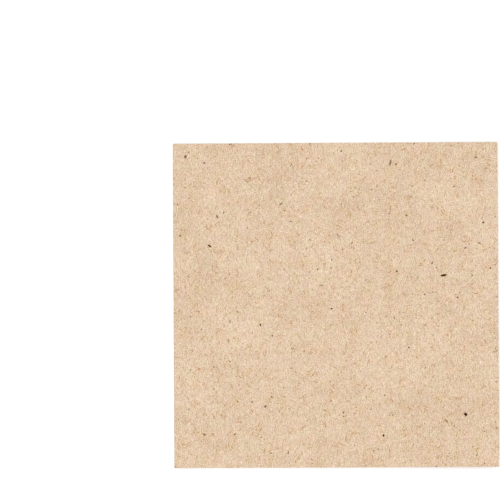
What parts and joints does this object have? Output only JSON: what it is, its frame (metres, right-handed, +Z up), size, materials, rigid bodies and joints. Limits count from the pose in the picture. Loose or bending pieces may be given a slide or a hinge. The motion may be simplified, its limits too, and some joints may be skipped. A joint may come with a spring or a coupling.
{
  "type": "paper napkin",
  "caption": "Square unbleached kraft tissue napkin, folded in four and lying flat, with a slightly lifted free corner.",
  "frame": {"origin": "centre of the folded square's footprint, on the surface that it lies on", "axes": "+Z up through the layers, X and Y along the square's edges: the second fold along low X, the first fold along high Y, the cut edges at high X and low Y"},
  "size_m": [0.127, 0.127, 0.003],
  "materials": {
    "kraft_tissue": "matte"
  },
  "bodies": {
    "root": {"napkin": "kraft_tissue"}
  },
  "joints": []
}
